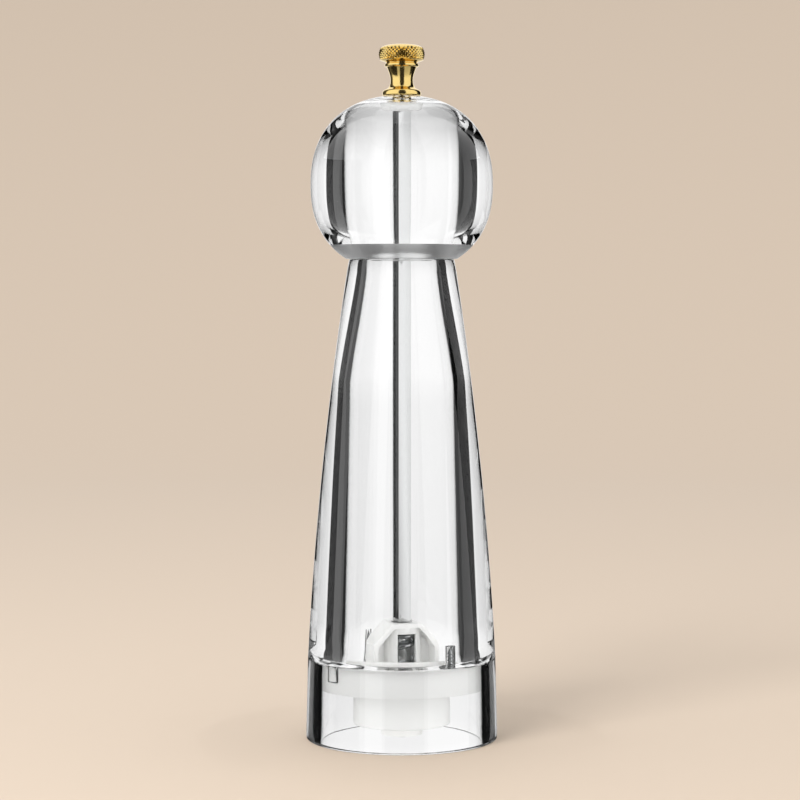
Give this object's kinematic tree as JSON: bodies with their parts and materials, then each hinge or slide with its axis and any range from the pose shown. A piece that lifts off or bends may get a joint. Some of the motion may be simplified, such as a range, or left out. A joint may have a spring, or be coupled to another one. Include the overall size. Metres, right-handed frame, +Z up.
{
  "type": "pepper mill",
  "caption": "Hand pepper mill: clear tapered tower on a clear ring, clear ball head turning a square shaft and ceramic grinder, knurled brass knob that sets the grind.",
  "frame": {"origin": "centre of the base ring's underside, on the table", "axes": "+Z up along the mill's axis, -Y to the front, +X to the right"},
  "size_m": [0.0564, 0.0564, 0.2037],
  "materials": {
    "clear_acrylic": "polished, water clear",
    "white_plastic": "moulded, satin",
    "white_ceramic": "sintered, matt",
    "steel": "bright zinc or drawn wire",
    "aluminium_rod": "bright drawn bar",
    "polished_brass": "polished, knurled rim"
  },
  "bodies": {
    "tower": {"tower_body": "clear_acrylic", "base_ring": "clear_acrylic", "carrier_disc": "white_plastic", "carrier_screws": "steel", "bridge": "white_plastic", "stator_cup": "white_plastic", "stator": "white_ceramic", "stator_retainer": "white_plastic"},
    "drive": {"compression_spring": "steel", "spring_top_washer": "steel"},
    "shaft": {"drive_shaft": "aluminium_rod", "spring_seat": "steel", "rotor_core": "white_plastic", "rotor": "white_ceramic", "retaining_washer": "steel", "retaining_screw": "steel"},
    "head": {"ball_head": "clear_acrylic", "neck_plug": "clear_acrylic", "drive_insert": "white_plastic"},
    "knob": {"adjustment_knob": "polished_brass"}
  },
  "joints": [
    {"name": "head_turn", "type": "hinge", "parent": "tower", "child": "drive", "pos_m": [0, 0, 0.14], "axis": [0, 0, 1], "continuous": true},
    {"name": "shaft_lift", "type": "slide", "parent": "drive", "child": "shaft", "axis": [0, 0, 1], "range_m": [-0.00035, 0.0007], "deforming": ["compression_spring"]},
    {"name": "head_lift", "type": "slide", "parent": "drive", "child": "head", "axis": [0, 0, 1], "range_m": [0, 0.07]},
    {"name": "knob_turn", "type": "hinge", "parent": "head", "child": "knob", "pos_m": [0, 0, 0.19], "axis": [0, 0, 1], "range_deg": [-360, 180]}
  ],
  "couplings": [
    {"joint": "knob_turn", "follows": "shaft_lift", "rad_per_m": -8975.9}
  ]
}
